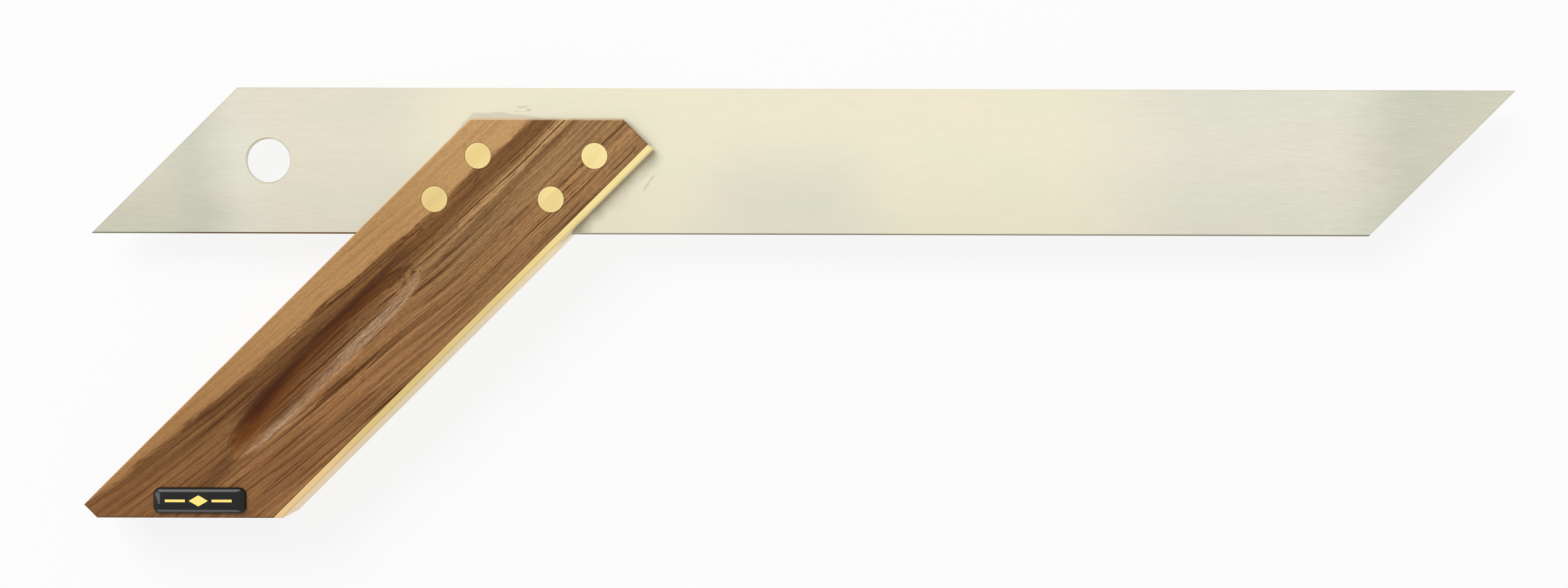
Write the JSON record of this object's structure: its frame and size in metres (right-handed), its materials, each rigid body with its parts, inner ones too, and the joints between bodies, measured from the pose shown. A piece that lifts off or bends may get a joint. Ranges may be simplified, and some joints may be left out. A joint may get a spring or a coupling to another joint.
{
  "type": "mitre square",
  "caption": "Fixed mitre square: a brushed steel blade with mitred ends, riveted at 45 degrees into a walnut stock with a brass-faced working edge and finger grooves.",
  "frame": {"origin": "middle of the part's outer box, in the plane of the stock's back face", "axes": "+X along the blade, from the end with the hanging hole to the long end; +Y across the blade, away from the stock's foot; +Z out of the front face, which carries the label"},
  "size_m": [0.39, 0.117, 0.0218],
  "materials": {
    "steel": "pale stainless steel, brushed along the blade",
    "walnut": "oiled walnut with dark streaks and a light band along the bare side",
    "brass": "brass sanded flush with the wood",
    "label_film": "black film with a plain gold ornament and no lettering",
    "label_resin": "clear glossy resin"
  },
  "bodies": {
    "root": {"blade": "steel", "stock": "walnut", "brass_facing": "brass", "rivet_upper_left": "brass", "rivet_upper_right": "brass", "rivet_lower_left": "brass", "rivet_lower_right": "brass", "label_film": "label_film", "label_dome": "label_resin"}
  },
  "joints": []
}
